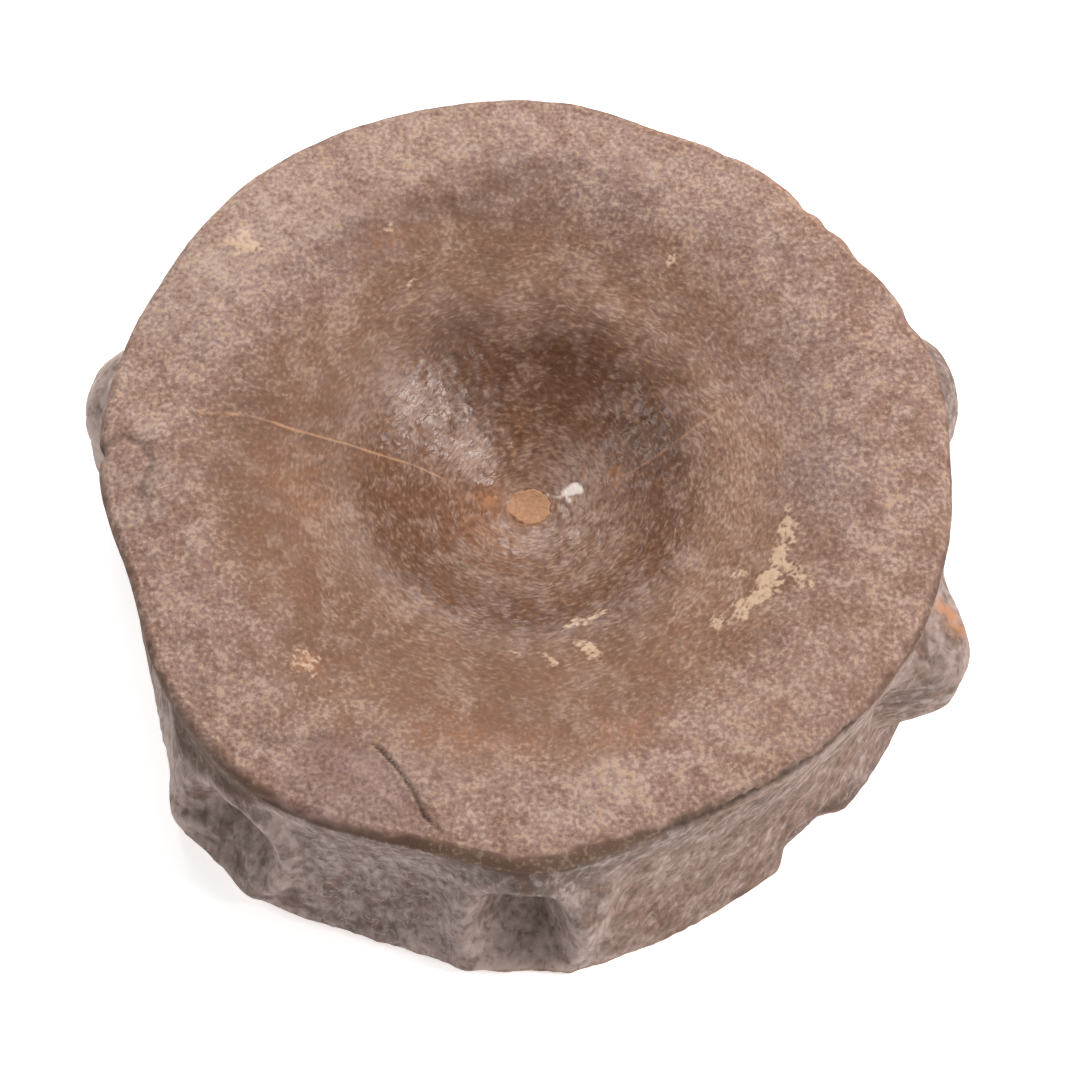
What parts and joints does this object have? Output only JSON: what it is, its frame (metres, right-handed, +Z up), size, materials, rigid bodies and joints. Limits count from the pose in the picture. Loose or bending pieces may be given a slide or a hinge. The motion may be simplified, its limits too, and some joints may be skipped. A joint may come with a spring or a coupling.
{
  "type": "fossil ichthyosaur vertebra",
  "caption": "Short disc-shaped fossil vertebral centrum of a marine reptile, dished on both faces, with a central pit, side knobs for the ribs and hollows for the neural arch.",
  "frame": {"origin": "under the middle of the bone's outline, on the surface that it lies on", "axes": "+Z up along the disc's axis, out of the face that the picture shows; +X to the picture's right, -Y towards the picture's camera; the dorsal side points 20 degrees from -Y towards -X"},
  "size_m": [0.0902, 0.0878, 0.0269],
  "materials": {
    "fossil_bone": "dull permineralised bone, brown in the dishes, mauve grey on the rims and flank, faintly polished in the funnels",
    "ochre_sediment": "matt ochre clay"
  },
  "bodies": {
    "root": {"centrum": "fossil_bone", "pit_plug": "ochre_sediment"}
  },
  "joints": []
}
